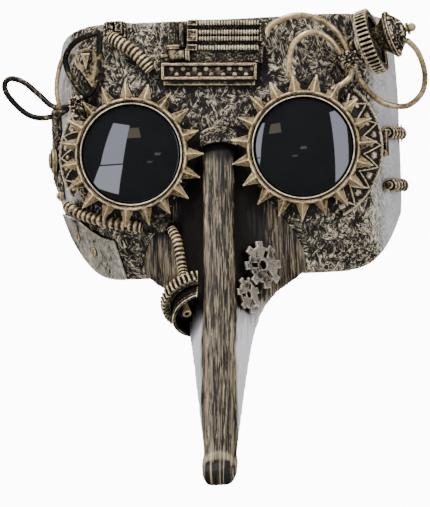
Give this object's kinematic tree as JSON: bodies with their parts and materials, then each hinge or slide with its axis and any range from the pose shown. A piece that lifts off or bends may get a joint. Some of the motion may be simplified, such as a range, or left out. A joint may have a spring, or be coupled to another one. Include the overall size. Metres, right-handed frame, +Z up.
{
  "type": "plague doctor mask",
  "caption": "Costume face mask with a long hollow beak, two spiked dark-lens goggles and applied gears, bent tubes, ribbed hoses and springs.",
  "frame": {"origin": "the wearer's eye line, centred between the eyes, on the plane of the mask's rear edge", "axes": "+Z up, -Y out of the front of the mask, +X to the right of a viewer who faces it"},
  "size_m": [0.2295, 0.1397, 0.2396],
  "materials": {
    "antique_shell": "black moulded plastic dry-brushed with antique gold and silver",
    "antique_beak": "black moulded plastic with lengthwise gold streaks",
    "antique_relief": "embossed black plastic dry-brushed gold",
    "blackened": "black moulded plastic with worn gold edges",
    "dark_lens": "smoked acrylic, high gloss",
    "black_rubber": "black rubber",
    "bright_rim": "worn pale gold edge",
    "antique_gold": "gold painted plastic with dark wash",
    "gold_tube": "smooth antique gold tube",
    "black_tube": "black tube with gold patches",
    "ribbed_hose": "ribbed hose, gold ribs and dark grooves",
    "eyelet_brass": "pressed brass eyelet"
  },
  "bodies": {
    "mask": {"face_shell": "antique_shell", "beak_shell": "antique_beak", "nose_arch": "antique_relief", "goggle_cup_left": "blackened", "goggle_cup_right": "blackened", "lens_left": "dark_lens", "lens_right": "dark_lens", "lens_gasket_left": "black_rubber", "lens_gasket_right": "black_rubber", "lens_retainer_left": "bright_rim", "lens_retainer_right": "bright_rim", "side_shield_left": "antique_relief", "side_shield_right": "antique_relief", "shield_rivets": "antique_gold", "temple_plate_left": "antique_relief", "temple_knobs": "antique_gold", "bead_channel": "antique_gold", "channel_beads": "antique_gold", "rod_block": "antique_relief", "toothed_rods": "antique_gold", "rod_clamps": "antique_gold", "rod_end_fitting": "antique_gold", "elbow_pipe": "antique_gold", "riser_pipes": "antique_relief", "brow_bracket": "antique_relief", "brow_hose": "ribbed_hose", "hose_hooks": "blackened", "left_ring": "black_tube", "leaf_badge": "antique_gold", "left_arc": "gold_tube", "left_far_loop": "black_tube", "left_clip": "blackened", "tube_arc": "gold_tube", "tube_ring": "gold_tube", "tube_end_loop": "gold_tube", "tube_clip": "blackened", "gear_axle": "blackened", "cup_upper": "antique_gold", "valve_dome": "blackened", "side_springs": "antique_gold", "side_link": "blackened", "link_pin": "antique_gold", "cheek_hose": "ribbed_hose", "hose_collar": "blackened", "nose_hose": "ribbed_hose", "gear_lower": "antique_gold", "cup_lower": "antique_gold", "cup_stub": "antique_gold", "cheek_plate": "antique_shell", "cheek_screws": "antique_gold", "cheek_cog_large": "antique_relief", "cheek_cog_small": "antique_relief", "strap_eyelet_left": "eyelet_brass", "strap_eyelet_right": "eyelet_brass"},
    "bezel_left": {"spiked_bezel_left": "antique_gold"},
    "bezel_right": {"spiked_bezel_right": "antique_gold"},
    "gear_upper_body": {"gear_upper": "antique_gold"},
    "valve_knob_body": {"valve_knob": "antique_gold"}
  },
  "joints": [
    {"name": "bezel_twist_left", "type": "hinge", "parent": "mask", "child": "bezel_left", "pos_m": [-0.045, -0.0724, 0], "axis": [0, -1, 0], "range_deg": [0, 30]},
    {"name": "bezel_twist_right", "type": "hinge", "parent": "mask", "child": "bezel_right", "pos_m": [0.045, -0.0724, 0], "axis": [0, -1, 0], "range_deg": [0, 30]},
    {"name": "gear_upper_spin", "type": "hinge", "parent": "mask", "child": "gear_upper_body", "pos_m": [0.082, -0.06, 0.054], "axis": [0.9436, -0.1834, 0.2756], "continuous": true},
    {"name": "valve_knob_turn", "type": "hinge", "parent": "mask", "child": "valve_knob_body", "pos_m": [0.082, -0.06, 0.054], "axis": [0.9436, -0.1834, 0.2756], "range_deg": [-90, 90]}
  ]
}
